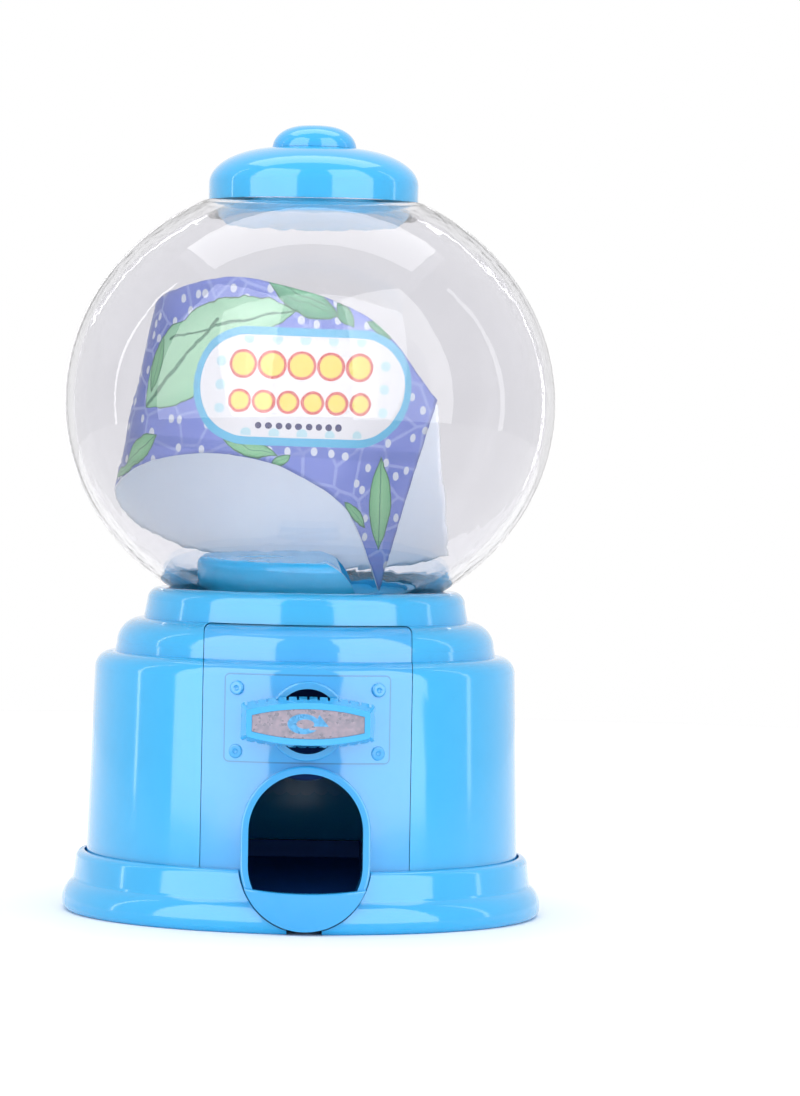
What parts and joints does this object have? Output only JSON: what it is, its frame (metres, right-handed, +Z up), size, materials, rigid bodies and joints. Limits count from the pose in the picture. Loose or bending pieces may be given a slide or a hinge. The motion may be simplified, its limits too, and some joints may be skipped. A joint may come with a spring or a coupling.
{
  "type": "gumball machine",
  "caption": "Small toy gumball machine: clear globe on a stepped round blue body, with a turning dial, a drum that serves one sweet, a spout and a lift-off lid.",
  "frame": {"origin": "centre of the flat foot ring, on the table the machine stands on", "axes": "+Z up through the finial, -Y out of the front panel and its dial, +X to the viewer's right"},
  "size_m": [0.0876, 0.0903, 0.14],
  "materials": {
    "blue_gloss": "glossy moulded plastic",
    "clear_plastic": "clear moulded polystyrene",
    "foil": "silver glitter foil with a printed arrow",
    "screw_steel": "zinc plated",
    "card_paper": "coated card, printed on one side"
  },
  "bodies": {
    "housing": {"base_tray": "blue_gloss", "body_shell": "blue_gloss", "front_panel": "blue_gloss", "hopper": "blue_gloss", "rotor_cradle": "blue_gloss", "chute_slide": "blue_gloss", "globe_front": "clear_plastic", "globe_rear": "clear_plastic", "insert_card": "card_paper", "base_screws": "screw_steel", "hopper_screws": "screw_steel", "cradle_screws": "screw_steel", "chute_screws": "screw_steel"},
    "dial": {"dial_knob": "blue_gloss", "dial_foil": "foil", "dial_screw": "screw_steel", "dispensing_rotor": "blue_gloss"},
    "lid": {"lid_cap": "blue_gloss", "lid_finial": "blue_gloss", "lid_plug": "blue_gloss"}
  },
  "joints": [
    {"name": "dial_turn", "type": "hinge", "parent": "housing", "child": "dial", "pos_m": [0, 0, 0.036], "axis": [0, 1, 0], "continuous": true},
    {"name": "lid_lift", "type": "slide", "parent": "housing", "child": "lid", "axis": [0, 0, 1], "range_m": [0, 0.03]}
  ]
}
